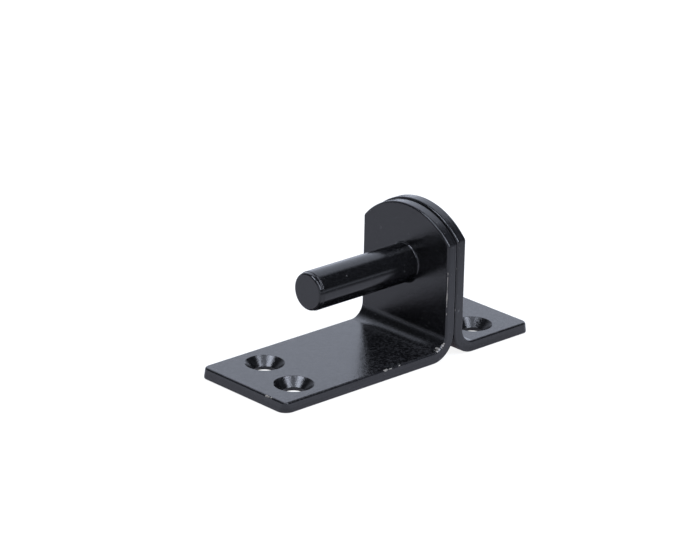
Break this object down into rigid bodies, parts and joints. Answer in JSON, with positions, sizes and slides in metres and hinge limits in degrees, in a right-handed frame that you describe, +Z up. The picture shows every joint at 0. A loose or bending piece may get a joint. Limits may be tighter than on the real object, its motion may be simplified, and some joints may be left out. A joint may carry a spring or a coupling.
{
  "type": "hinge pin",
  "caption": "Screw-on hinge pin: a stepped round steel pin riveted through two flat-bar angle brackets that stand back to back, painted black.",
  "frame": {"origin": "middle of the bounding box's bottom face, on the plane that both legs' undersides share", "axes": "+Z up along the uprights, the hinge pin points along -X over the long front leg, +Y across the bar's width"},
  "size_m": [0.109, 0.04, 0.0495],
  "materials": {
    "bracket_paint": "black semi-gloss paint",
    "pin_paint": "black semi-gloss paint"
  },
  "bodies": {
    "root": {"front_bracket": "bracket_paint", "rear_bracket": "bracket_paint", "pin": "pin_paint"}
  },
  "joints": []
}
